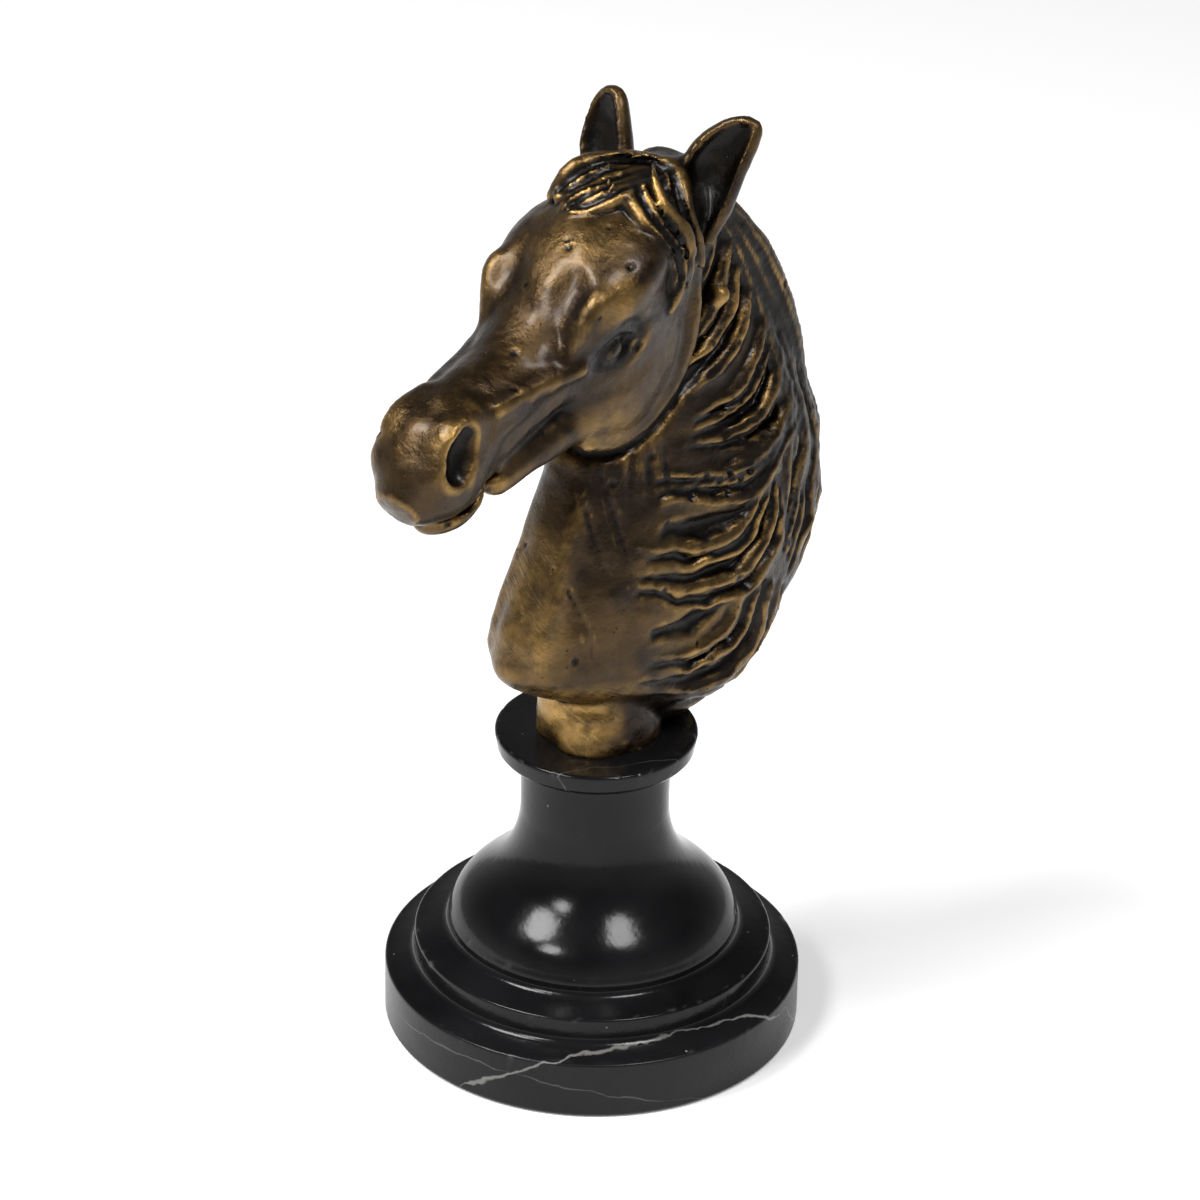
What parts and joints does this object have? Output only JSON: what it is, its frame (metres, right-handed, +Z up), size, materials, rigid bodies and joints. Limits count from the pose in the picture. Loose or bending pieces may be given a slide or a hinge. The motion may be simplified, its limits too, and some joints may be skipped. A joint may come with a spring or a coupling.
{
  "type": "horse head paperweight",
  "caption": "Cast bronze horse head with pricked ears and a flowing mane, rising from a round stepped marble socle that stands flat on a desk.",
  "frame": {"origin": "centre of the socle's flat underside, on the socle's turning axis", "axes": "+Z up along the socle's turning axis; the neck faces -Y and its left side is +X; the head turns 11 degrees to its left"},
  "size_m": [0.084, 0.1135, 0.1919],
  "materials": {
    "bronze": "cast bronze with a dark brown patina, rubbed golden on the raised edges, near black in the hollows",
    "marble": "polished black marble with a few thin grey-white veins"
  },
  "bodies": {
    "root": {"horse_head": "bronze", "marble_socle": "marble"}
  },
  "joints": []
}
